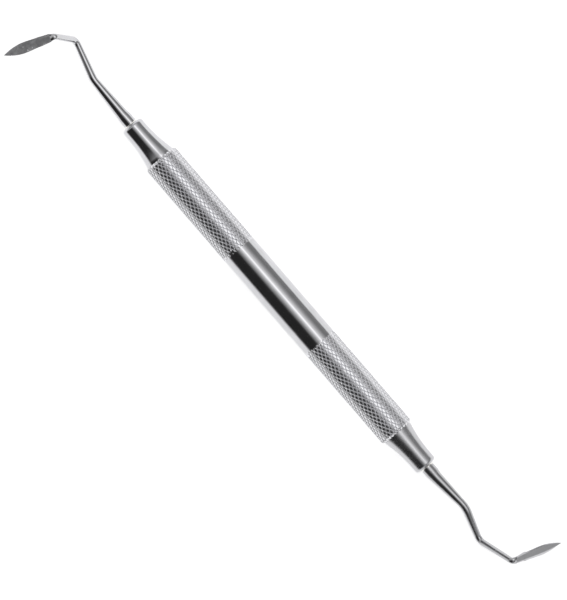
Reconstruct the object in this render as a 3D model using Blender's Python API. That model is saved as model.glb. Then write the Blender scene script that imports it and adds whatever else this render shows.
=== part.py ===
"""Double-ended dental elevator with spear blades.

A seamless steel tube, knurled in two bands, is the handle. A turned nose cone is pressed into
each end of it, and a one-piece forged working end is fixed in each cone: a round tang, a tapered
shank with three bends, and a ground spear blade. A thin ring of silver solder closes the joint
where the shank leaves its cone.

Each end is modelled in its own frame, in millimetres: +X runs out of the handle along its axis,
and x = 0 is the front face of the nose cone. The two ends are the same design turned half round,
each with its own hand-set bends. The handle lies along the world's X axis, with the whole
instrument rolled and pitched to the attitude in which it comes to rest on a table.
"""

import math

import bmesh
import bpy
from mathutils import Matrix, Vector

MM = 0.001

# Handle, in millimetres
HANDLE_DIAMETER = 8.5
HANDLE_WALL = 0.8
HANDLE_LENGTH = 102.6  # between the front faces of the two nose cones
TUBE_END_CHAMFER = 0.5
ROUND_SIDES = 32

# Nose cone: a short cylinder that flares in a concave arc to the handle's size
NOSE_LENGTH = 10.1
NOSE_FRONT_DIAMETER = 5.5
NOSE_STRAIGHT = 2.0
NOSE_FLARE_RADIUS = 32.0
NOSE_FLARE_END = 9.55
NOSE_FLARE_STEPS = 6
NOSE_BACK_DIAMETER = 7.45
NOSE_CORNER_RADIUS = 0.8
NOSE_CORNER_STEPS = 4
SPIGOT_LENGTH = 6.0
SPIGOT_CHAMFER = 0.3
PRESS_GAP = 0.05  # what is left between two pieces that are pressed or soldered together

# Working end: tang, shank and blade
TANG_DEPTH = 8.0
SHANK_BASE_DIAMETER = 3.2
SHANK_BASE_LENGTH = 2.1
SHANK_SHOULDER_DIAMETER = 2.88
SHANK_SHOULDER_END = 3.2
SHANK_SIDES = 16
ARC_STEP = math.radians(12)
BEND_DIAMETERS = (2.0, 1.65, 1.5)
BEND_RADII = (5.5, 1.8, 0.9)
HEEL_WIDENING = 1.22  # how much wider than thick the shank is where it meets the blade

# Solder ring around the root of the shank
SOLDER_WIDTH = 0.3
SOLDER_HEIGHT = 0.28
SOLDER_STEPS = 2

# Blade, measured along its axis from the third bend's corner
BLADE_STEP = 3.6
STEP_RUN = 0.25
FACE_RUN = 0.3  # from the end of the bend to the first full section of the blade
BLADE_HEEL_WIDTH = 1.85
BLADE_ROOT_WIDTH = 2.3
BLADE_WIDTH = 2.6
BLADE_WIDEST_AT = 0.58  # as a part of the whole blade
BEVEL_WIDTHS = (0.05, 0.3)  # on the two edges, as parts of the blade's width
OUTER_FACE = 0.32
RICASSO_INNER = -0.56
BLADE_INNER_ROOT = -0.3
BLADE_INNER_TIP = -0.02
EDGE_THICKNESS = 0.1
TIP_LAND = 0.12  # how far short of the point the last section lies
BLADE_SECTIONS = 12
BLADE_CROWDING = 1.4  # above 1, the sections draw together towards the tip

# Corners of the shank's centre line, then the blade's tip: one set for each end
SHANK_CORNERS = {
    "a": ((13.35, -0.25, 0.5), (22.8, -3.05, -0.3), (26.55, 0.15, 8.2), (30.7, 11.55, 2.6)),
    "b": ((12.8, 0.6, -0.3), (20.65, -1.95, -4.0), (29.15, 0.65, 3.9), (33.05, 11.7, -3.7)),
}

# Attitude at rest: about the handle's axis, then end to end
REST_ROLL = math.radians(-3.35)
REST_PITCH = math.radians(-0.04)

SHARP_ANGLE = math.radians(30)
MERGE_DISTANCE = 0.0001

# Colour, metallic, roughness
FINISHES = {
    "satin_steel": ((0.62, 0.63, 0.65), 1.0, 0.3),
    "polished_steel": ((0.68, 0.69, 0.71), 1.0, 0.14),
    "ground_steel": ((0.5, 0.51, 0.53), 1.0, 0.32),
    "silver_solder": ((0.8, 0.79, 0.76), 1.0, 0.22),
}


def clear_scene():
    for obj in list(bpy.data.objects):
        bpy.data.objects.remove(obj, do_unlink=True)


def finish(name):
    colour, metallic, roughness = FINISHES[name]
    material = bpy.data.materials.new(name)
    material.use_nodes = True
    shader = material.node_tree.nodes["Principled BSDF"]
    shader.inputs["Base Color"].default_value = (*colour, 1.0)
    shader.inputs["Metallic"].default_value = metallic
    shader.inputs["Roughness"].default_value = roughness
    return material


def empty(name, parent=None, matrix=None):
    obj = bpy.data.objects.new(name, None)
    bpy.context.scene.collection.objects.link(obj)
    obj.parent = parent
    obj.matrix_local = matrix or Matrix()
    return obj


def solid(name, shape, material, parent):
    """An object from a bmesh in millimetres, shaded smooth except at its real edges."""
    bmesh.ops.scale(shape, vec=(MM, MM, MM), verts=shape.verts)
    bmesh.ops.recalc_face_normals(shape, faces=shape.faces)
    mesh = bpy.data.meshes.new(name)
    shape.to_mesh(mesh)
    shape.free()
    mesh.shade_smooth()
    mesh.set_sharp_from_angle(angle=SHARP_ANGLE)
    mesh.materials.append(material)
    obj = bpy.data.objects.new(name, mesh)
    bpy.context.scene.collection.objects.link(obj)
    obj.parent = parent
    return obj


def turned(profile, sides=ROUND_SIDES):
    """A body turned about the X axis from a profile of (x, radius).

    A profile that starts and ends on the axis makes a solid body. Any other is closed on
    itself and makes a ring or a tube.
    """
    shape = bmesh.new()
    points = [shape.verts.new((x, 0.0, radius)) for x, radius in profile]
    edges = [shape.edges.new(pair) for pair in zip(points, points[1:])]
    if profile[0][1] > 0:
        edges.append(shape.edges.new((points[-1], points[0])))
    bmesh.ops.spin(
        shape,
        geom=points + edges,
        cent=(0, 0, 0),
        axis=(1, 0, 0),
        angle=math.tau,
        steps=sides,
        use_merge=True,
    )
    bmesh.ops.remove_doubles(shape, verts=shape.verts, dist=MERGE_DISTANCE)
    return shape


def tube_profile():
    half = HANDLE_LENGTH / 2 - NOSE_LENGTH
    outer = HANDLE_DIAMETER / 2
    inner = outer - HANDLE_WALL
    chamfer = TUBE_END_CHAMFER
    return [
        (-half, inner),
        (-half, outer - chamfer),
        (-half + chamfer, outer),
        (half - chamfer, outer),
        (half, outer - chamfer),
        (half, inner),
    ]


def nose_profile():
    """From the bottom of the blind bore, out round the cone and the spigot, to the back."""
    bore = SHANK_BASE_DIAMETER / 2 + 2 * PRESS_GAP
    front = NOSE_FRONT_DIAMETER / 2
    corner = NOSE_CORNER_RADIUS
    bottom = TANG_DEPTH + 2 * PRESS_GAP
    profile = [(-bottom, 0.0), (-bottom, bore), (0.0, bore)]
    for step in range(NOSE_CORNER_STEPS + 1):
        turn = math.radians(90 * step / NOSE_CORNER_STEPS)
        profile.append((-corner * (1 - math.cos(turn)), front - corner * (1 - math.sin(turn))))
    for step in range(NOSE_FLARE_STEPS + 1):
        past = (NOSE_FLARE_END - NOSE_STRAIGHT) * step / NOSE_FLARE_STEPS
        rise = NOSE_FLARE_RADIUS - math.sqrt(NOSE_FLARE_RADIUS**2 - past**2)
        profile.append((-NOSE_STRAIGHT - past, front + rise))
    seat = NOSE_LENGTH - PRESS_GAP
    spigot = HANDLE_DIAMETER / 2 - HANDLE_WALL - PRESS_GAP
    back = NOSE_LENGTH + SPIGOT_LENGTH
    return profile + [
        (-seat, NOSE_BACK_DIAMETER / 2),
        (-seat, spigot),
        (-back + SPIGOT_CHAMFER, spigot),
        (-back, spigot - SPIGOT_CHAMFER),
        (-back, 0.0),
    ]


def solder_profile():
    """A hollow fillet between the shank and the front face of the cone."""
    inner = SHANK_BASE_DIAMETER / 2 + PRESS_GAP
    profile = [(PRESS_GAP, inner)]
    for step in range(SOLDER_STEPS + 1):
        turn = math.radians(90 * step / SOLDER_STEPS)
        along = PRESS_GAP + SOLDER_HEIGHT * (1 - math.sin(turn))
        profile.append((along, inner + SOLDER_WIDTH * (1 - math.cos(turn))))
    return profile


def arc(corner, before, after, radius):
    """Points of the circular arc that rounds a corner of the centre line."""
    into = (corner - before).normalized()
    out = (after - corner).normalized()
    turn = into.angle(out)
    tangent = radius * math.tan(turn / 2)
    axis = into.cross(out).normalized()
    centre = corner - into * tangent + axis.cross(into) * radius
    arm = corner - into * tangent - centre
    steps = max(2, math.ceil(turn / ARC_STEP))
    return [centre + Matrix.Rotation(turn * i / steps, 3, axis) @ arm for i in range(steps + 1)]


def centre_line(corners):
    """The shank's centre line up to the third bend's end, as (point, radius, widening)."""
    first = Vector((SHANK_SHOULDER_END, 0, 0))
    stops = [first] + [Vector(corner) for corner in corners]
    line = [
        (Vector((-TANG_DEPTH, 0, 0)), SHANK_BASE_DIAMETER / 2, 1.0),
        (Vector((SHANK_BASE_LENGTH, 0, 0)), SHANK_BASE_DIAMETER / 2, 1.0),
        (first, SHANK_SHOULDER_DIAMETER / 2, 1.0),
    ]
    for i, radius in enumerate(BEND_RADII):
        points = arc(stops[i + 1], stops[i], stops[i + 2], radius)
        widest = HEEL_WIDENING if i == len(BEND_RADII) - 1 else 1.0
        for j, point in enumerate(points):
            widening = 1 + (widest - 1) * j / (len(points) - 1)
            line.append((point, BEND_DIAMETERS[i] / 2, widening))
    return line


def round_section(radius, widening):
    """Sixteen points of a round or oval section, as (across, along the face's normal)."""
    turns = [(i + 0.5) * math.tau / SHANK_SIDES for i in range(SHANK_SIDES)]
    return [(radius * widening * math.cos(turn), radius * math.sin(turn)) for turn in turns]


def blade_section(width, outer, inner):
    """Sixteen points of a flat section with a narrow and a wide bevel on each face."""
    edge = width / 2
    near, far = (edge - width * bevel for bevel in BEVEL_WIDTHS)
    third = (near + far) / 3
    middle = (outer + inner) / 2
    across = [edge, (edge + near) / 2, near, near - third, third - far, -far, -(edge + far) / 2, -edge]

    def side(face, rim):
        return [rim, (face + rim) / 2, face, face, face, face, (face + rim) / 2, rim]

    upper = side(outer, middle + EDGE_THICKNESS / 2)
    lower = side(inner, middle - EDGE_THICKNESS / 2)
    return list(zip(across, upper)) + list(reversed(list(zip(across, lower))))


def blend(low, high, share):
    share = min(max(share, 0.0), 1.0)
    eased = share * share * (3 - 2 * share)
    return low + (high - low) * eased


def blade_width(along, length):
    widest = BLADE_WIDEST_AT * length
    if along < BLADE_STEP:
        return BLADE_HEEL_WIDTH + (BLADE_ROOT_WIDTH - BLADE_HEEL_WIDTH) * along / BLADE_STEP
    if along < widest:
        return blend(BLADE_ROOT_WIDTH, BLADE_WIDTH, (along - BLADE_STEP) / (widest - BLADE_STEP))
    return BLADE_WIDTH * (1 - ((along - widest) / (length - widest)) ** 2)


def blade_sections(start, length):
    """The blade's sections as (distance from the third corner, sixteen points)."""
    ricasso = [start + FACE_RUN, (start + FACE_RUN + BLADE_STEP) / 2, BLADE_STEP]
    sections = []
    for along in ricasso:
        width = blade_width(along, length)
        sections.append((along, blade_section(width, OUTER_FACE, RICASSO_INNER)))
    root = BLADE_STEP + STEP_RUN
    for i in range(BLADE_SECTIONS):
        share = i / (BLADE_SECTIONS - 1)
        along = root + (length - TIP_LAND - root) * (1 - (1 - share) ** BLADE_CROWDING)
        inner = BLADE_INNER_ROOT + (BLADE_INNER_TIP - BLADE_INNER_ROOT) * share
        sections.append((along, blade_section(blade_width(along, length), OUTER_FACE, inner)))
    return sections


def working_end(corners):
    """Tang, shank and blade lofted in one piece through sixteen-point sections."""
    line = centre_line(corners)
    corner = Vector(corners[2])
    tip = Vector(corners[3])
    blade = (tip - corner).normalized()
    shank = (corner - Vector(corners[1])).normalized()
    normal = (shank - blade * shank.dot(blade)).normalized()
    length = (tip - corner).length
    rings = []
    start = (line[-1][0] - corner).dot(blade)
    across = normal.cross(blade)
    for along, section in reversed(blade_sections(start, length)):
        rings.append([corner + blade * along + across * x + normal * y for x, y in section])
    # The round sections follow backwards from the blade, each turned only as far as the line turns.
    # Where the bend would stand proud of the blade's outer face, it is ground off level with it.
    face_normal = normal
    heading = blade
    for i in range(len(line) - 1, -1, -1):
        point, radius, widening = line[i]
        before = line[max(i - 1, 0)][0]
        after = line[i + 1][0] if i + 1 < len(line) else point + blade
        direction = ((point - before).normalized() + (after - point).normalized()).normalized()
        turn = heading.rotation_difference(direction)
        across = turn @ across
        normal = turn @ normal
        heading = direction
        ring = [point + across * x + normal * y for x, y in round_section(radius, widening)]
        for j, place in enumerate(ring):
            proud = (place - corner).dot(face_normal) - OUTER_FACE
            if proud > 0 and widening > 1:
                ring[j] = place - face_normal * proud
        rings.append(ring)
    shape = bmesh.new()
    loops = [[shape.verts.new(point) for point in ring] for ring in rings]
    for near, far in zip(loops, loops[1:]):
        for i in range(SHANK_SIDES):
            following = (i + 1) % SHANK_SIDES
            shape.faces.new((near[i], near[following], far[following], far[i]))
    shape.faces.new(loops[0])
    shape.faces.new(loops[-1])
    return shape


def stand_on_origin(root):
    """Moves the instrument so that the world's origin is the middle of its footprint."""
    bpy.context.view_layer.update()
    corners = [
        obj.matrix_world @ vertex.co
        for obj in bpy.data.objects
        if obj.type == "MESH"
        for vertex in obj.data.vertices
    ]
    low = Vector([min(point[i] for point in corners) for i in range(3)])
    high = Vector([max(point[i] for point in corners) for i in range(3)])
    root.location -= Vector(((low.x + high.x) / 2, (low.y + high.y) / 2, low.z))


def build():
    clear_scene()
    finishes = {name: finish(name) for name in FINISHES}
    attitude = Matrix.Rotation(REST_PITCH, 4, "Y") @ Matrix.Rotation(REST_ROLL, 4, "X")
    root = empty("instrument", matrix=attitude)
    solid("handle_tube", turned(tube_profile()), finishes["satin_steel"], root)
    reach = Matrix.Translation((HANDLE_LENGTH / 2 * MM, 0, 0))
    half_turns = {"a": Matrix.Rotation(math.pi, 4, "Z"), "b": Matrix()}
    for end, half_turn in half_turns.items():
        frame = empty(f"end_{end}", root, half_turn @ reach)
        solid(f"nose_cone_{end}", turned(nose_profile()), finishes["polished_steel"], frame)
        solid(f"solder_ring_{end}", turned(solder_profile()), finishes["silver_solder"], frame)
        solid(f"working_end_{end}", working_end(SHANK_CORNERS[end]), finishes["ground_steel"], frame)
    stand_on_origin(root)


build()
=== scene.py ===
"""Looks of the double-ended dental elevator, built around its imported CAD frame.

Each visible piece is rebuilt at full detail in the place of its CAD solid: the handle with its
rolled diamond knurl, the turned nose cones, the solder rings, and the forged working ends with
their ground spear blades. Lengths are in millimetres in each piece's own frame, and MM turns them
into metres. +X of the handle's frame runs towards end B, and +X of an end's frame runs out of
the handle, with x = 0 at the front face of its nose cone.
"""

import math
import random

import bpy
from mathutils import Matrix, Vector, noise


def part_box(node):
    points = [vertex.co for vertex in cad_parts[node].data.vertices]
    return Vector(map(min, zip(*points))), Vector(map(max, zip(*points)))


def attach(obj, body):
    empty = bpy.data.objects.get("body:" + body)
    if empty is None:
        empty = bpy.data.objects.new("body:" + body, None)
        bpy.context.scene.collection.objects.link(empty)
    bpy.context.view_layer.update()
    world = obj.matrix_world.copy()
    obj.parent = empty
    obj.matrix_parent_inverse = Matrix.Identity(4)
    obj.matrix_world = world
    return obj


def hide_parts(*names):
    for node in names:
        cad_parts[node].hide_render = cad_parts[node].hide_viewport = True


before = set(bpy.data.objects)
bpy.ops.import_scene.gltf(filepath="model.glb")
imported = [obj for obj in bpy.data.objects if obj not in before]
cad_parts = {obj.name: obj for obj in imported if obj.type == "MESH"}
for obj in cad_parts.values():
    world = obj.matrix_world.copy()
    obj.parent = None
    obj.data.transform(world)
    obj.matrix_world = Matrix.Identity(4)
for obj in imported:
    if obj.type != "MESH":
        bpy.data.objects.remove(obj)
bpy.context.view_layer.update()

MM = 0.001

# Handle
HANDLE_RADIUS = 4.25
HANDLE_WALL = 0.8
HANDLE_LENGTH = 102.6  # between the front faces of the two nose cones
TUBE_END_CHAMFER = 0.5
PLAIN_STRETCH = (-13.8, 14.1)  # the polished stretch between the knurled bands
KNURL_STARTS = 28
KNURL_PITCH = 1.58  # along the handle
KNURL_DEPTH = 0.17
GROOVE_SHARE = 0.2  # from the bottom of a groove to the flat, as a part of the pitch
KNURL_SAMPLES = 6  # lattice steps from one groove to the next
KNURL_FADE = 0.5  # where the grooves run out into the plain stretch
FADE_WANDER = 1.1  # how far that place differs from one groove to the next
RUN_OUT = 0.15  # from a band's inner end, where no groove is left, to the first plain ring
WANDER_SCALE = 0.9  # how quickly it changes round the handle
SECOND_SHARE = {"a": 1.0, "b": 0.9}  # how deep the second set of grooves is cut in each band
TOP_UNEVENNESS = 0.012  # how far one diamond drops or leans against the next
PLAIN_RINGS = 8

# Nose cone
NOSE_LENGTH = 10.1
NOSE_FRONT_RADIUS = 2.75
NOSE_STRAIGHT = 2.0
NOSE_FLARE_RADIUS = 32.0
NOSE_FLARE_END = 9.55
NOSE_BACK_RADIUS = 3.725
NOSE_CORNER_RADIUS = 0.8
NOSE_SIDES = 96
NOSE_CORNER_STEPS = 12
NOSE_FLARE_STEPS = 32
TANG_HOLE_CHAMFER = (0.06, 0.05)  # depth and width
SPIGOT_LENGTH = 6.0
SPIGOT_CHAMFER = 0.3
PRESS_GAP = 0.05

# Working end
TANG_DEPTH = 8.0
SHANK_BASE_RADIUS = 1.6
SHANK_BASE_LENGTH = 2.1
SHANK_SHOULDER_RADIUS = 1.44
SHANK_SHOULDER_END = 3.2
SECTION_POINTS = 32
BEVEL_POINTS = 4  # of those, from an edge of the blade to its flat
ARC_STEP = math.radians(5)
STRAIGHT_STEP = 0.5
SHANK_RADII = (0.985, 0.805, 0.715)  # at each bend; finely faceted, so a little under the CAD's
BEND_RADII = (5.5, 1.8, 0.9)
HEEL_WIDENING = 1.22  # how much wider than thick the shank is where it meets the blade

# Solder ring
SOLDER_WIDTH = 0.3
SOLDER_HEIGHT = 0.28
SOLDER_STEPS = 8

# Blade: lengths along it are from the last bend's corner, heights from the centre line
BLADE_STEP = 3.6  # where the step on the inner side lies
STEP_RUN = 0.1
STEP_TOLERANCE = 0.01
STEP_SLANT = 0.5  # how much further out the inner step lies on one edge than on the other
FACE_RUN = 0.06  # over which the outer side goes from the heel's crown to the flat face
FACE_RINGS = 3
RICASSO_RINGS = 14
BLADE_HEEL_WIDTH = 1.85
BLADE_ROOT_WIDTH = 2.3
BLADE_WIDTH = 2.6
BLADE_WIDEST_AT = 0.58
BEVEL_WIDTHS = (0.05, 0.3)  # on the two edges, as parts of the blade's width
CROWN_DELAY = 1.6  # above 1, the outer side sinks late round the last bend
BEFORE_BLADE = -1.0  # stands for the distance along the blade in rings that lie before it
OUTER_FACE = 0.32
RICASSO_INNER = -0.56
BLADE_INNER_ROOT = -0.3
BLADE_INNER_TIP = -0.02
EDGE_THICKNESS = 0.06
TIP_LAND = 0.12
BLADE_RINGS = 60
TIP_CROWDING = 1.3  # above 1, the rings lie closer together towards the tip

# Corners of each shank's centre line, then its blade's tip, in the end's own frame
SHANK_CORNERS = {
    "a": ((13.35, -0.25, 0.5), (22.8, -3.05, -0.3), (26.55, 0.15, 8.2), (30.7, 11.55, 2.6)),
    "b": ((12.8, 0.6, -0.3), (20.65, -1.95, -4.0), (29.15, 0.65, 3.9), (33.05, 11.7, -3.7)),
}

# Attitude at rest, as the CAD model lies
REST_ROLL = math.radians(-3.35)
REST_PITCH = math.radians(-0.04)

# Camera: it looks square down on the handle's own top side
PICTURE_TURN = math.radians(49.14)  # the handle's slope across the picture
PICTURE_HEIGHT = 136.3  # millimetres that the picture's height takes in
PICTURE_CENTRE = (1.47, 0.11)  # in the handle's frame, along and across
LENS = 1500.0
SENSOR = 36.0


def handle_matrix():
    """The handle's frame in the world: the middle of the CAD tube, turned to the rest attitude."""
    low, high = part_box("handle_tube")
    attitude = Matrix.Rotation(REST_PITCH, 4, "Y") @ Matrix.Rotation(REST_ROLL, 4, "X")
    return Matrix.Translation((low + high) / 2) @ attitude


HANDLE = handle_matrix()
REACH = Matrix.Translation((HANDLE_LENGTH / 2 * MM, 0, 0))
ENDS = {"a": HANDLE @ Matrix.Rotation(math.pi, 4, "Z") @ REACH, "b": HANDLE @ REACH}


# ---------------------------------------------------------------- meshes


def piece(name, points, faces, matrix, materials, node, sharp=15.0, indices=None):
    """A piece from points in millimetres in its own frame, standing for a CAD node."""
    mesh = bpy.data.meshes.new(name)
    mesh.from_pydata([matrix @ (Vector(point) * MM) for point in points], [], faces)
    for material in materials:
        mesh.materials.append(material)
    if indices:
        mesh.polygons.foreach_set("material_index", indices)
    mesh.update()
    mesh.shade_smooth()
    mesh.set_sharp_from_angle(angle=math.radians(sharp))
    obj = bpy.data.objects.new(name, mesh)
    bpy.context.scene.collection.objects.link(obj)
    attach(obj, "root")
    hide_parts(node)
    return obj


def bridge(faces, near, far):
    """Quads between two rings of point numbers of the same length."""
    count = len(near)
    for i in range(count):
        following = (i + 1) % count
        faces.append((near[i], near[following], far[following], far[i]))


def turned(profile, sides):
    """Points and faces of a body turned about X from (x, radius), closed on itself or on the axis."""
    points, faces, rings = [], [], []
    for x, radius in profile:
        first = len(points)
        if radius == 0:
            points.append((x, 0.0, 0.0))
            rings.append([first] * sides)
            continue
        for i in range(sides):
            turn = math.tau * i / sides
            points.append((x, radius * math.sin(turn), radius * math.cos(turn)))
        rings.append(list(range(first, first + sides)))
    pairs = list(zip(rings, rings[1:]))
    if profile[0][1] > 0:
        pairs.append((rings[-1], rings[0]))
    for near, far in pairs:
        quads = []
        bridge(quads, near, far)
        faces += [tuple(dict.fromkeys(quad)) for quad in quads]
    return points, faces


def smooth(share):
    share = min(max(share, 0.0), 1.0)
    return share * share * (3 - 2 * share)


def blend(low, high, share):
    return low + (high - low) * smooth(share)


# ---------------------------------------------------------------- handle


def groove(phase):
    """Height of the knurl across one groove: 0 at the bottom, 1 on the flat top."""
    return smooth(abs(phase - round(phase)) / GROOVE_SHARE)


def knurl_height(first, second, second_share):
    return min(groove(first), 1 - second_share * (1 - groove(second)))


def knurl_tilt(first, second, seed):
    """A small slope and drop that each diamond has of its own."""
    cell = random.Random(hash((math.floor(first), math.floor(second), seed)))
    drop = cell.random() * TOP_UNEVENNESS
    lean = (cell.random() - 0.5) * 2 * TOP_UNEVENNESS
    swing = (cell.random() - 0.5) * 2 * TOP_UNEVENNESS
    return drop + lean * (first % 1 - 0.5) + swing * (second % 1 - 0.5)


def knurled_rows(start, end, seed, second_share):
    """Rows of a knurled band from start to end, each a list of (x, turn, depth, height).

    Every second row is shifted by half a step round the handle.
    """
    around = KNURL_SAMPLES * KNURL_STARTS
    rows_count = round((end - start) / KNURL_PITCH * 2 * KNURL_SAMPLES)
    step = (end - start) / rows_count
    inner_end = min(abs(start), abs(end))
    outer_end = max(abs(start), abs(end))
    rows = []
    for m in range(rows_count + 1):
        x = start + m * step
        from_plain = abs(x) - inner_end
        chamfer = max(0.0, TUBE_END_CHAMFER - (outer_end - abs(x)))
        row = []
        for i in range(around):
            k = 2 * i + m % 2
            first = (k + m) / (2 * KNURL_SAMPLES)
            second = (k - m) / (2 * KNURL_SAMPLES)
            spot = Vector((first * WANDER_SCALE, second * WANDER_SCALE, seed))
            wander = noise.noise(spot) * FADE_WANDER
            fade = smooth((from_plain + wander) / KNURL_FADE) * smooth(from_plain / RUN_OUT)
            height = knurl_height(first, second, second_share)
            tilt = knurl_tilt(first, second % KNURL_STARTS, seed)
            depth = fade * (KNURL_DEPTH * (1 - height) + tilt)
            row.append((x, math.tau * k / (2 * around), depth + chamfer, 1 - fade * (1 - height)))
        rows.append(row)
    return rows


def handle_mesh():
    """The tube's outer skin with both knurled bands, its ends and its bore."""
    around = KNURL_SAMPLES * KNURL_STARTS
    half = HANDLE_LENGTH / 2 - NOSE_LENGTH
    plain_start, plain_end = PLAIN_STRETCH
    bore = HANDLE_RADIUS - HANDLE_WALL
    points, heights, faces = [], [], []

    def ring(x, radius, shift):
        first = len(points)
        for i in range(around):
            turn = math.tau * (2 * i + shift) / (2 * around)
            points.append((x, radius * math.sin(turn), radius * math.cos(turn)))
            heights.append(1.0)
        return list(range(first, first + around))

    def knurled(start, end, seed, second_share):
        """Adds a band and returns its first row, its last row and the last row's shift."""
        rows = []
        for row in knurled_rows(start, end, seed, second_share):
            first = len(points)
            for x, turn, depth, height in row:
                radius = HANDLE_RADIUS - depth
                points.append((x, radius * math.sin(turn), radius * math.cos(turn)))
                heights.append(height)
            rows.append(list(range(first, first + around)))
        for m, row in enumerate(rows):
            below = rows[m - 1] if m else None
            above = rows[m + 1] if m + 1 < len(rows) else None
            for i in range(around):
                following = (i + 1) % around
                # The shifted rows' point that lies between this one and the following one
                right = following if m % 2 else i
                if below and above:
                    faces.append((row[i], below[right], row[following], above[right]))
                elif above:
                    faces.append((row[i], row[following], above[right]))
                else:
                    faces.append((row[i], below[right], row[following]))
        return rows[0], rows[-1], (len(rows) - 1) % 2

    first_row, middle, shift_a = knurled(-half, plain_start, 1, SECOND_SHARE["a"])
    for i in range(PLAIN_RINGS):
        x = plain_start + RUN_OUT + (plain_end - plain_start - 2 * RUN_OUT) * i / (PLAIN_RINGS - 1)
        following = ring(x, HANDLE_RADIUS, shift_a)
        bridge(faces, middle, following)
        middle = following
    second_row, end_row, shift_b = knurled(plain_end, half, 2, SECOND_SHARE["b"])
    bridge(faces, middle, second_row)
    inner_right = ring(half, bore, shift_b)
    inner_left = ring(-half, bore, 0)
    bridge(faces, end_row, inner_right)
    bridge(faces, inner_right, inner_left)
    bridge(faces, inner_left, first_row)
    return points, heights, faces


def make_handle(knurled, plain):
    points, heights, faces = handle_mesh()
    finishes = [knurled, plain]
    obj = piece("handle", points, faces, HANDLE, finishes, "handle_tube", sharp=24.0)
    height = obj.data.attributes.new("height", "FLOAT", "POINT")
    height.data.foreach_set("value", heights)
    plain_start, plain_end = (HANDLE.translation.x + x * MM for x in PLAIN_STRETCH)
    for face in obj.data.polygons:
        if plain_start < face.center.x < plain_end:
            face.material_index = 1


# ---------------------------------------------------------------- nose cones and solder


def nose_profile():
    """From the bottom of the tang's hole over the front and the flare to the end of the spigot."""
    chamfer_depth, chamfer_width = TANG_HOLE_CHAMFER
    bore = SHANK_BASE_RADIUS + 2 * PRESS_GAP
    corner = NOSE_CORNER_RADIUS
    front = NOSE_FRONT_RADIUS
    bottom = -TANG_DEPTH - 2 * PRESS_GAP
    profile = [(bottom, 0.0), (bottom, bore), (-chamfer_depth, bore), (0.0, bore + chamfer_width)]
    for step in range(NOSE_CORNER_STEPS + 1):
        turn = math.radians(90 * step / NOSE_CORNER_STEPS)
        profile.append((-corner * (1 - math.cos(turn)), front - corner * (1 - math.sin(turn))))
    for step in range(1, NOSE_FLARE_STEPS + 1):
        along = corner + (NOSE_FLARE_END - corner) * step / NOSE_FLARE_STEPS
        past = max(0.0, along - NOSE_STRAIGHT)
        profile.append((-along, front + NOSE_FLARE_RADIUS - math.sqrt(NOSE_FLARE_RADIUS**2 - past**2)))
    seat = NOSE_LENGTH - PRESS_GAP
    spigot = HANDLE_RADIUS - HANDLE_WALL - PRESS_GAP
    back = NOSE_LENGTH + SPIGOT_LENGTH
    return profile + [
        (-seat, NOSE_BACK_RADIUS),
        (-seat, spigot),
        (-back + SPIGOT_CHAMFER, spigot),
        (-back, spigot - SPIGOT_CHAMFER),
        (-back, 0.0),
    ]


def solder_profile():
    """A fillet hollowed between the shank's side and the cone's front face."""
    inner = SHANK_BASE_RADIUS + PRESS_GAP / 2
    profile = [(PRESS_GAP / 2, inner), (SOLDER_HEIGHT + PRESS_GAP, inner)]
    for step in range(1, SOLDER_STEPS + 1):
        turn = math.radians(90 * step / SOLDER_STEPS)
        across = inner + SOLDER_WIDTH * (1 - math.cos(turn))
        along = PRESS_GAP / 2 + SOLDER_HEIGHT * (1 - math.sin(turn))
        profile.append((along, across))
    return profile


# ---------------------------------------------------------------- working ends


def arc(corner, before, after, radius):
    """Points round a bend that touches both legs of its corner."""
    into = (corner - before).normalized()
    out = (after - corner).normalized()
    turn = into.angle(out)
    tangent = radius * math.tan(turn / 2)
    axis = into.cross(out).normalized()
    centre = corner - into * tangent + axis.cross(into) * radius
    arm = corner - into * tangent - centre
    steps = max(4, math.ceil(turn / ARC_STEP))
    return [centre + Matrix.Rotation(turn * i / steps, 3, axis) @ arm for i in range(steps + 1)]


def centre_line(corners):
    """The shank's centre line up to the third bend's end, as (point, radius, widening)."""
    first = Vector((SHANK_SHOULDER_END, 0, 0))
    stops = [first] + [Vector(corner) for corner in corners]
    knots = [
        (Vector((-TANG_DEPTH, 0, 0)), SHANK_BASE_RADIUS, 1.0),
        (Vector((SHANK_BASE_LENGTH, 0, 0)), SHANK_BASE_RADIUS, 1.0),
        (first, SHANK_SHOULDER_RADIUS, 1.0),
    ]
    for i, radius in enumerate(BEND_RADII):
        points = arc(stops[i + 1], stops[i], stops[i + 2], radius)
        widest = HEEL_WIDENING if i == len(BEND_RADII) - 1 else 1.0
        for j, point in enumerate(points):
            knots.append((point, SHANK_RADII[i], 1 + (widest - 1) * smooth(j / (len(points) - 1))))
    line = [knots[0]]
    for (start, thick, wide), (end, thin, wider) in zip(knots, knots[1:]):
        steps = max(1, round((end - start).length / STRAIGHT_STEP))
        for step in range(1, steps + 1):
            share = step / steps
            radius = thick + (thin - thick) * share
            line.append((start.lerp(end, share), radius, wide + (wider - wide) * share))
    return line


def round_section(radius, widening):
    turns = [(i + 0.5) * math.tau / SECTION_POINTS for i in range(SECTION_POINTS)]
    return [(radius * widening * math.cos(turn), radius * math.sin(turn)) for turn in turns]


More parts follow.
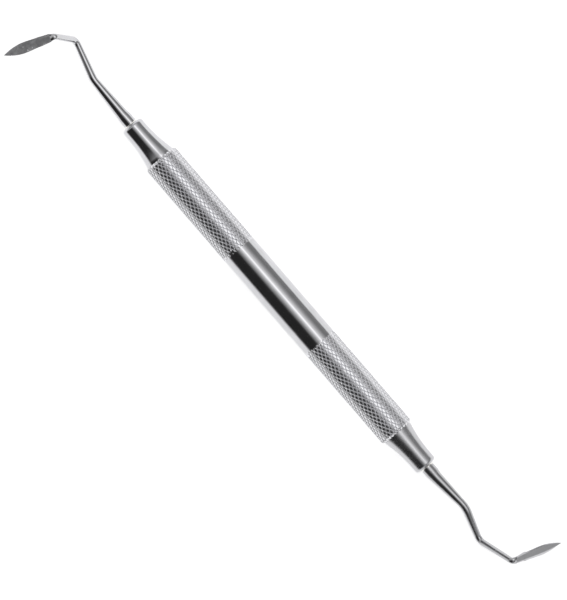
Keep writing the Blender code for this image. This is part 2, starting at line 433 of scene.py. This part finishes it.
def blade_section(width, outer, inner):
    """A flat section, narrowly bevelled on one edge and widely on the other, as (across, height)."""
    edge = width / 2
    near, far = (edge - width * bevel for bevel in BEVEL_WIDTHS)
    middle = (outer + inner) / 2
    half_edge = min(EDGE_THICKNESS / 2, (outer - inner) / 4)
    last = SECTION_POINTS // 2 - 1
    section = []
    for i in range(last + 1):
        rise = min(1.0, i / BEVEL_POINTS, (last - i) / BEVEL_POINTS)
        if i <= BEVEL_POINTS:
            across = edge + (near - edge) * rise
        elif i >= last - BEVEL_POINTS:
            across = -edge + (edge - far) * rise
        else:
            across = near - (near + far) * (i - BEVEL_POINTS) / (last - 2 * BEVEL_POINTS)
        section.append((across, rise))
    rim_outer, rim_inner = middle + half_edge, middle - half_edge
    outer_side = [(x, rim_outer + (outer - rim_outer) * rise) for x, rise in section]
    inner_side = [(x, rim_inner + (inner - rim_inner) * rise) for x, rise in section]
    return outer_side + inner_side[::-1]


def blade_width(along, length):
    widest = BLADE_WIDEST_AT * length
    if along < BLADE_STEP:
        return BLADE_HEEL_WIDTH + (BLADE_ROOT_WIDTH - BLADE_HEEL_WIDTH) * along / BLADE_STEP
    if along < widest:
        return blend(BLADE_ROOT_WIDTH, BLADE_WIDTH, (along - BLADE_STEP) / (widest - BLADE_STEP))
    return BLADE_WIDTH * (1 - ((along - widest) / (length - widest)) ** 2)


def ricasso_section(along, start, length):
    """The outer face is flat at once; the inner side goes slowly from round to flat."""
    oval = [(x, min(y, OUTER_FACE)) for x, y in round_section(SHANK_RADII[2], HEEL_WIDENING)]
    flat = blade_section(blade_width(along, length), OUTER_FACE, RICASSO_INNER)
    outer_share = smooth((along - start) / FACE_RUN)
    inner_share = smooth((along - start) / (BLADE_STEP - start))
    section = []
    for i, ((oval_x, oval_y), (flat_x, flat_y)) in enumerate(zip(oval, flat)):
        share = outer_share if i < SECTION_POINTS // 2 else inner_share
        section.append((oval_x + (flat_x - oval_x) * share, oval_y + (flat_y - oval_y) * share))
    return section


def blade_sections(start, length):
    """The blade's sections from its root, as (distance from the third corner, section)."""
    run = BLADE_STEP - start
    stations = [start + FACE_RUN * i / FACE_RINGS for i in range(1, FACE_RINGS + 1)]
    for i in range(1, RICASSO_RINGS + 1):
        stations.append(start + FACE_RUN + (run - FACE_RUN) * i / RICASSO_RINGS)
    sections = [(along, ricasso_section(along, start, length)) for along in stations]
    root = BLADE_STEP + STEP_RUN
    for i in range(BLADE_RINGS):
        share = i / (BLADE_RINGS - 1)
        along = root + (length - TIP_LAND - root) * (1 - (1 - share) ** TIP_CROWDING)
        inner = BLADE_INNER_ROOT + (BLADE_INNER_TIP - BLADE_INNER_ROOT) * share
        sections.append((along, blade_section(blade_width(along, length), OUTER_FACE, inner)))
    return sections


def working_end_rings(corners):
    """Rings from tip to tang, how far along the blade each lies, and where the blade starts."""
    line = centre_line(corners)
    corner = Vector(corners[2])
    tip = Vector(corners[3])
    blade = (tip - corner).normalized()
    shank = (corner - Vector(corners[1])).normalized()
    normal = (shank - blade * shank.dot(blade)).normalized()
    length = (tip - corner).length
    across = normal.cross(blade)
    start = (line[-1][0] - corner).dot(blade)
    rings, reach = [], []
    for along, section in reversed(blade_sections(start, length)):
        # The inner step crosses the blade at a slant.
        near_step = 1 - min(1.0, abs(along - BLADE_STEP) / (BLADE_STEP - start))
        ring = []
        for i, (x, y) in enumerate(section):
            slide = STEP_SLANT * near_step * x / BLADE_ROOT_WIDTH if i >= SECTION_POINTS // 2 else 0.0
            ring.append(corner + blade * (along + slide) + across * x + normal * y)
        rings.append(ring)
        reach.append(along)
    heading = blade
    for i in range(len(line) - 1, -1, -1):
        point, radius, widening = line[i]
        before = line[max(i - 1, 0)][0]
        after = line[i + 1][0] if i + 1 < len(line) else point + blade
        direction = ((point - before).normalized() + (after - point).normalized()).normalized()
        turn = heading.rotation_difference(direction)
        across = turn @ across
        normal = turn @ normal
        heading = direction
        # Round the last bend the outer side sinks to a low crown, level with the blade's face.
        sunk = ((widening - 1) / (HEEL_WIDENING - 1)) ** CROWN_DELAY
        crown = 1 + (OUTER_FACE / radius - 1) * sunk
        section = round_section(radius, widening)
        rings.append([point + across * x + normal * (y * crown if y > 0 else y) for x, y in section])
        reach.append(BEFORE_BLADE)
    return rings, reach, start


def finish_number(i, along, start):
    """A face's material: 0 polished, 1 the blade's outer face, 2 its inner side, 3 the outer bevels."""
    last = SECTION_POINTS // 2 - 1
    if i > last:
        return 2 if along > BLADE_STEP - STEP_TOLERANCE else 0
    if along <= start:
        return 0
    on_bevel = i < BEVEL_POINTS or i >= last - BEVEL_POINTS
    return 3 if on_bevel else 1


def working_end_mesh(corners):
    """Points, faces and material numbers of a tang, shank and blade in one piece."""
    rings, reach, start = working_end_rings(corners)
    points = [tuple(point) for ring in rings for point in ring]
    count = SECTION_POINTS
    faces, indices = [], []
    for m in range(len(rings) - 1):
        near = list(range(m * count, (m + 1) * count))
        far = list(range((m + 1) * count, (m + 2) * count))
        bridge(faces, far, near)
        indices += [finish_number(i, reach[m + 1], start) for i in range(count)]
    faces.append(tuple(range(count)))
    indices.append(1)
    root = (len(rings) - 1) * count
    faces.append(tuple(reversed(range(root, root + count))))
    indices.append(0)
    return points, faces, indices


# ---------------------------------------------------------------- materials


class Nodes:
    """Short names for building one material's nodes."""

    def __init__(self, name):
        self.material = bpy.data.materials.new(name)
        self.material.use_nodes = True
        self.tree = self.material.node_tree
        self.shader = self.tree.nodes["Principled BSDF"]
        self.place = self.tree.nodes.new("ShaderNodeTexCoord").outputs["Object"]

    def link(self, value, socket):
        if hasattr(value, "is_output"):
            self.tree.links.new(value, socket)
        else:
            socket.default_value = value

    def add(self, kind, result=0, settings=None, **sockets):
        node = self.tree.nodes.new("ShaderNode" + kind)
        for key, value in (settings or {}).items():
            setattr(node, key, value)
        for key, value in sockets.items():
            index = int(key[1:]) if key[0] == "i" and key[1:].isdigit() else key.replace("_", " ")
            self.link(value, node.inputs[index])
        return node.outputs[result]

    def stretched(self, x, y, z):
        return self.add("Mapping", Vector=self.place, Scale=(x, y, z))

    def noise(self, vector, scale, detail=3.0, roughness=0.6):
        return self.add("TexNoise", Vector=vector, Scale=scale, Detail=detail, Roughness=roughness)

    def remap(self, value, low, high, new_low, new_high):
        return self.add("MapRange", i0=value, i1=low, i2=high, i3=new_low, i4=new_high)

    def math(self, operation, first, second=0.0):
        return self.add("Math", settings={"operation": operation}, i0=first, i1=second)

    def mix(self, share, first, second):
        node = self.tree.nodes.new("ShaderNodeMix")
        node.data_type = "RGBA"
        self.link(share, node.inputs["Factor"])
        self.link(first, node.inputs[6])
        self.link(second, node.inputs[7])
        return node.outputs[2]

    def bump(self, height, strength, distance, normal=None):
        node = self.tree.nodes.new("ShaderNodeBump")
        node.inputs["Strength"].default_value = strength
        node.inputs["Distance"].default_value = distance
        self.link(height, node.inputs["Height"])
        if normal:
            self.link(normal, node.inputs["Normal"])
        return node.outputs[0]

    def finish(self, colour, roughness, normal=None):
        self.link(colour, self.shader.inputs["Base Color"])
        self.link(roughness, self.shader.inputs["Roughness"])
        self.shader.inputs["Metallic"].default_value = 1.0
        if normal:
            self.link(normal, self.shader.inputs["Normal"])
        return self.material


def grey(value):
    """A grey with the faint blue of steel."""
    return (value, value, value * 1.03, 1.0)


def polished_steel(name, tone, rough, grain=0.25, brush=0.0):
    """Turned and polished steel: faint rings round the axis, lengthwise polishing scratches, smudges."""
    n = Nodes(name)
    turning = n.noise(n.stretched(5400, 30, 30), 1.0, 4.0)
    scratches = n.noise(n.stretched(120, 5200, 5200), 1.0, 3.0)
    smudge = n.noise(n.place, 220.0, 4.0)
    colour = n.mix(n.remap(smudge, 0.35, 0.7, 0.0, 1.0), grey(tone * 0.94), grey(tone * 1.05))
    wear = n.remap(scratches, 0.35, 0.75, 0.0, 0.06)
    roughness = n.math("ADD", n.remap(smudge, 0.3, 0.75, rough * 0.8, rough * 1.3), wear)
    height = n.math("ADD", n.math("MULTIPLY", turning, 0.6), n.math("MULTIPLY", scratches, 0.4))
    normal = n.bump(height, grain, 0.000004)
    if brush:
        normal = n.bump(n.noise(n.stretched(140, 2400, 2400), 1.0, 3.0), brush, 0.00001, normal)
    return n.finish(colour, roughness, normal)


def knurled_steel(name):
    """Smooth crests, and grooves that are rougher and a little paler."""
    n = Nodes(name)
    height = n.tree.nodes.new("ShaderNodeAttribute")
    height.attribute_name = "height"
    high = height.outputs["Fac"]
    grain = n.noise(n.stretched(2500, 2500, 2500), 1.0, 3.0)
    smudge = n.noise(n.place, 260.0, 4.0)
    groove_colour = n.mix(smudge, grey(0.84), grey(0.92))
    crest_colour = n.mix(smudge, grey(0.72), grey(0.8))
    colour = n.mix(n.remap(high, 0.15, 0.85, 0.0, 1.0), groove_colour, crest_colour)
    roughness = n.math("ADD", n.remap(high, 0.1, 0.95, 0.42, 0.2), n.remap(grain, 0.3, 0.7, -0.03, 0.05))
    scratches = n.noise(n.stretched(160, 4200, 4200), 1.0, 3.0)
    normal = n.bump(n.math("ADD", grain, scratches), 0.25, 0.000006)
    return n.finish(colour, roughness, normal)


def ground_steel(name, tone, rough, specks, uneven):
    """Satin-ground blade face: fine grinding lines, mottling and a few bright specks."""
    n = Nodes(name)
    lines = n.noise(n.stretched(5200, 900, 5200), 1.0, 4.0, 0.7)
    mottle = n.noise(n.place, 900.0, 5.0, 0.65)
    broad = n.noise(n.place, 260.0, 2.0)
    cells = n.add("TexVoronoi", 0, Vector=n.place, Scale=900.0)
    some = n.remap(n.noise(n.place, 500.0, 1.0), 0.5, 0.56, 0.0, 1.0)
    speck = n.math("MULTIPLY", n.remap(cells, specks * 0.6, specks * 1.2, 1.0, 0.0), some)
    dark = grey(tone * (1 - uneven))
    pale = grey(tone * (1 + uneven))
    shade = n.mix(n.remap(mottle, 0.35, 0.65, 0.0, 1.0), dark, pale)
    shade = n.mix(n.remap(broad, 0.4, 0.62, 0.0, 0.7), shade, grey(tone * (1 - 1.2 * uneven)))
    colour = n.mix(speck, shade, grey(0.85))
    roughness = n.remap(mottle, 0.25, 0.75, rough * 0.85, rough * 1.25)
    height = n.math("ADD", lines, n.math("MULTIPLY", mottle, 0.5))
    return n.finish(colour, roughness, n.bump(height, 0.35, 0.00001))


def solder_metal(name):
    """Bright silver solder, a little rippled."""
    n = Nodes(name)
    ripple = n.noise(n.place, 1500.0, 3.0)
    colour = n.mix(ripple, (0.80, 0.79, 0.76, 1.0), (0.9, 0.89, 0.87, 1.0))
    roughness = n.remap(ripple, 0.3, 0.7, 0.14, 0.3)
    return n.finish(colour, roughness, n.bump(ripple, 0.4, 0.00002))


# ---------------------------------------------------------------- stage


def make_floor():
    """A pale table that reaches far out of the picture."""
    size = 6.0
    mesh = bpy.data.meshes.new("floor")
    corners = [(-size, -size, 0), (size, -size, 0), (size, size, 0), (-size, size, 0)]
    mesh.from_pydata(corners, [], [(0, 1, 2, 3)])
    floor = bpy.data.objects.new("floor", mesh)
    bpy.context.scene.collection.objects.link(floor)
    n = Nodes("pale_floor")
    soft = n.noise(n.place, 9.0, 2.0)
    n.link(n.mix(soft, (0.83, 0.83, 0.83, 1.0), (0.86, 0.86, 0.86, 1.0)), n.shader.inputs["Base Color"])
    n.shader.inputs["Roughness"].default_value = 0.75
    n.shader.inputs["Specular IOR Level"].default_value = 0.1
    n.shader.inputs["Emission Color"].default_value = (1.0, 1.0, 1.0, 1.0)
    n.shader.inputs["Emission Strength"].default_value = 0.75
    mesh.materials.append(n.material)


# Brightness of the studio round the handle's axis: degrees from straight up, towards +Y
STUDIO = (
    (-90, 0.8),
    (-86, 0.5),
    (-80, 0.026),
    (-24, 0.026),
    (-18, 0.06),
    (-12, 0.21),
    (0, 0.56),
    (12, 1.1),
    (18, 1.35),
    (25, 1.1),
    (37, 0.66),
    (50, 0.38),
    (57, 0.28),
    (65, 0.26),
    (80, 0.3),
    (88, 0.36),
)
# Towards each of the handle's ends: the sign of X, where the change starts and ends, brightness
STUDIO_ENDS = ((-1, 0.3, 0.6, 0.6), (1, 0.55, 0.85, 0.3))
# A second, small flag low down beyond end A: its direction, then its edge's start and end as cosines
SMALL_FLAG = (-0.95, -0.29, 0.12)
SMALL_FLAG_EDGE = (0.93, 0.97)
FLAG_TONE = 0.02


def make_studio():
    """A light tent with a black flag along one side of the handle and a strip light overhead."""
    world = bpy.data.worlds.new("studio")
    bpy.context.scene.world = world
    world.use_nodes = True
    tree = world.node_tree
    background = tree.nodes["Background"]

    def add(kind, **settings):
        node = tree.nodes.new("ShaderNode" + kind)
        for key, value in settings.items():
            setattr(node, key, value)
        return node

    direction = add("TexCoord").outputs["Generated"]

    def along(axis):
        node = add("VectorMath", operation="DOT_PRODUCT")
        tree.links.new(direction, node.inputs[0])
        node.inputs[1].default_value = (HANDLE.to_3x3() @ Vector(axis)).normalized()
        return node.outputs["Value"]

    angle = add("Math", operation="ARCTAN2")
    tree.links.new(along((0, 1, 0)), angle.inputs[0])
    tree.links.new(along((0, 0, 1)), angle.inputs[1])
    share = add("MapRange")
    share.inputs["From Min"].default_value = -math.pi / 2
    share.inputs["From Max"].default_value = math.pi / 2
    tree.links.new(angle.outputs[0], share.inputs["Value"])
    ramp = add("ValToRGB")
    tree.links.new(share.outputs[0], ramp.inputs[0])
    stops = ramp.color_ramp.elements
    while len(stops) < len(STUDIO):
        stops.new(0.5)
    for stop, (degrees, value) in zip(stops, STUDIO):
        stop.position = (degrees + 90) / 180
        stop.color = (value, value, value, 1.0)

    def overlay(below, value, low, high, tone):
        """The colour below, changing to a grey tone where the value goes from low to high."""
        reach = add("MapRange", interpolation_type="SMOOTHSTEP")
        reach.inputs["From Min"].default_value = low
        reach.inputs["From Max"].default_value = high
        tree.links.new(value, reach.inputs["Value"])
        mix = add("Mix", data_type="RGBA")
        tree.links.new(reach.outputs[0], mix.inputs["Factor"])
        tree.links.new(below, mix.inputs[6])
        mix.inputs[7].default_value = (tone, tone, tone, 1.0)
        return mix.outputs[2]

    light = ramp.outputs[0]
    for sign, low, high, tone in STUDIO_ENDS:
        light = overlay(light, along((sign, 0, 0)), low, high, tone)
    light = overlay(light, along(SMALL_FLAG), *SMALL_FLAG_EDGE, FLAG_TONE)
    # What lies behind the object in any view is a plain white backdrop.
    seen = add("Mix", data_type="RGBA")
    tree.links.new(add("LightPath").outputs["Is Camera Ray"], seen.inputs["Factor"])
    tree.links.new(light, seen.inputs[6])
    seen.inputs[7].default_value = (1.0, 1.0, 1.0, 1.0)
    tree.links.new(seen.outputs[2], background.inputs["Color"])


def make_softbox():
    """One long softbox over the handle, a little to its +Y side."""
    lean = math.radians(17)
    distance = 1.1
    lamp = bpy.data.lights.new("softbox", "AREA")
    lamp.shape = "RECTANGLE"
    lamp.size = 1.5
    lamp.size_y = 0.16
    lamp.energy = 0.3
    softbox = bpy.data.objects.new("softbox", lamp)
    bpy.context.scene.collection.objects.link(softbox)
    place = Matrix.Rotation(-lean, 4, "X") @ Matrix.Translation((0, 0, distance))
    softbox.matrix_world = HANDLE @ place
    softbox.visible_camera = False


def make_camera():
    """Square above the handle's top side, with the handle sloping down to the right."""
    camera_data = bpy.data.cameras.new("camera")
    camera_data.lens = LENS
    camera_data.sensor_width = SENSOR
    camera_data.clip_start = 0.01
    camera_data.clip_end = 50.0
    distance = PICTURE_HEIGHT * MM * LENS / SENSOR
    camera = bpy.data.objects.new("camera", camera_data)
    bpy.context.scene.collection.objects.link(camera)
    aim = Matrix.Translation((PICTURE_CENTRE[0] * MM, PICTURE_CENTRE[1] * MM, distance))
    camera.matrix_world = HANDLE @ aim @ Matrix.Rotation(PICTURE_TURN, 4, "Z")
    bpy.context.scene.camera = camera


# ---------------------------------------------------------------- build


def build():
    plain = polished_steel("handle_polished", tone=0.6, rough=0.11, brush=0.5)
    knurled = knurled_steel("handle_knurled")
    cones = {
        "a": polished_steel("cone_polished_a", tone=0.62, rough=0.1),
        "b": polished_steel("cone_polished_b", tone=0.55, rough=0.23),
    }
    shanks = {
        "a": polished_steel("shank_polished_a", tone=0.6, rough=0.12, grain=0.35),
        "b": polished_steel("shank_polished_b", tone=0.5, rough=0.22, grain=0.35),
    }
    outer = {
        "a": ground_steel("blade_outer_a", tone=0.38, rough=0.36, specks=0.2, uneven=0.3),
        "b": ground_steel("blade_outer_b", tone=0.33, rough=0.38, specks=0.02, uneven=0.08),
    }
    inner = {
        "a": ground_steel("blade_inner_a", tone=0.45, rough=0.33, specks=0.15, uneven=0.2),
        "b": ground_steel("blade_inner_b", tone=0.62, rough=0.3, specks=0.02, uneven=0.08),
    }
    bevel = {
        "a": ground_steel("blade_bevel_a", tone=0.38, rough=0.6, specks=0.16, uneven=0.3),
        "b": polished_steel("blade_bevel_b", tone=0.54, rough=0.24, grain=0.4),
    }
    solder = solder_metal("solder_bright")

    make_handle(knurled, plain)
    for end, matrix in ENDS.items():
        points, faces = turned(nose_profile(), NOSE_SIDES)
        piece(f"nose_{end}", points, faces, matrix, [cones[end]], f"nose_cone_{end}")
        points, faces = turned(solder_profile(), NOSE_SIDES)
        piece(f"solder_{end}", points, faces, matrix, [solder], f"solder_ring_{end}")
        points, faces, indices = working_end_mesh(SHANK_CORNERS[end])
        finishes = [shanks[end], outer[end], inner[end], bevel[end]]
        name, node = f"blade_and_shank_{end}", f"working_end_{end}"
        piece(name, points, faces, matrix, finishes, node, indices=indices)
    make_floor()
    make_studio()
    make_softbox()
    make_camera()
    bpy.context.scene.view_settings.view_transform = "Standard"


build()
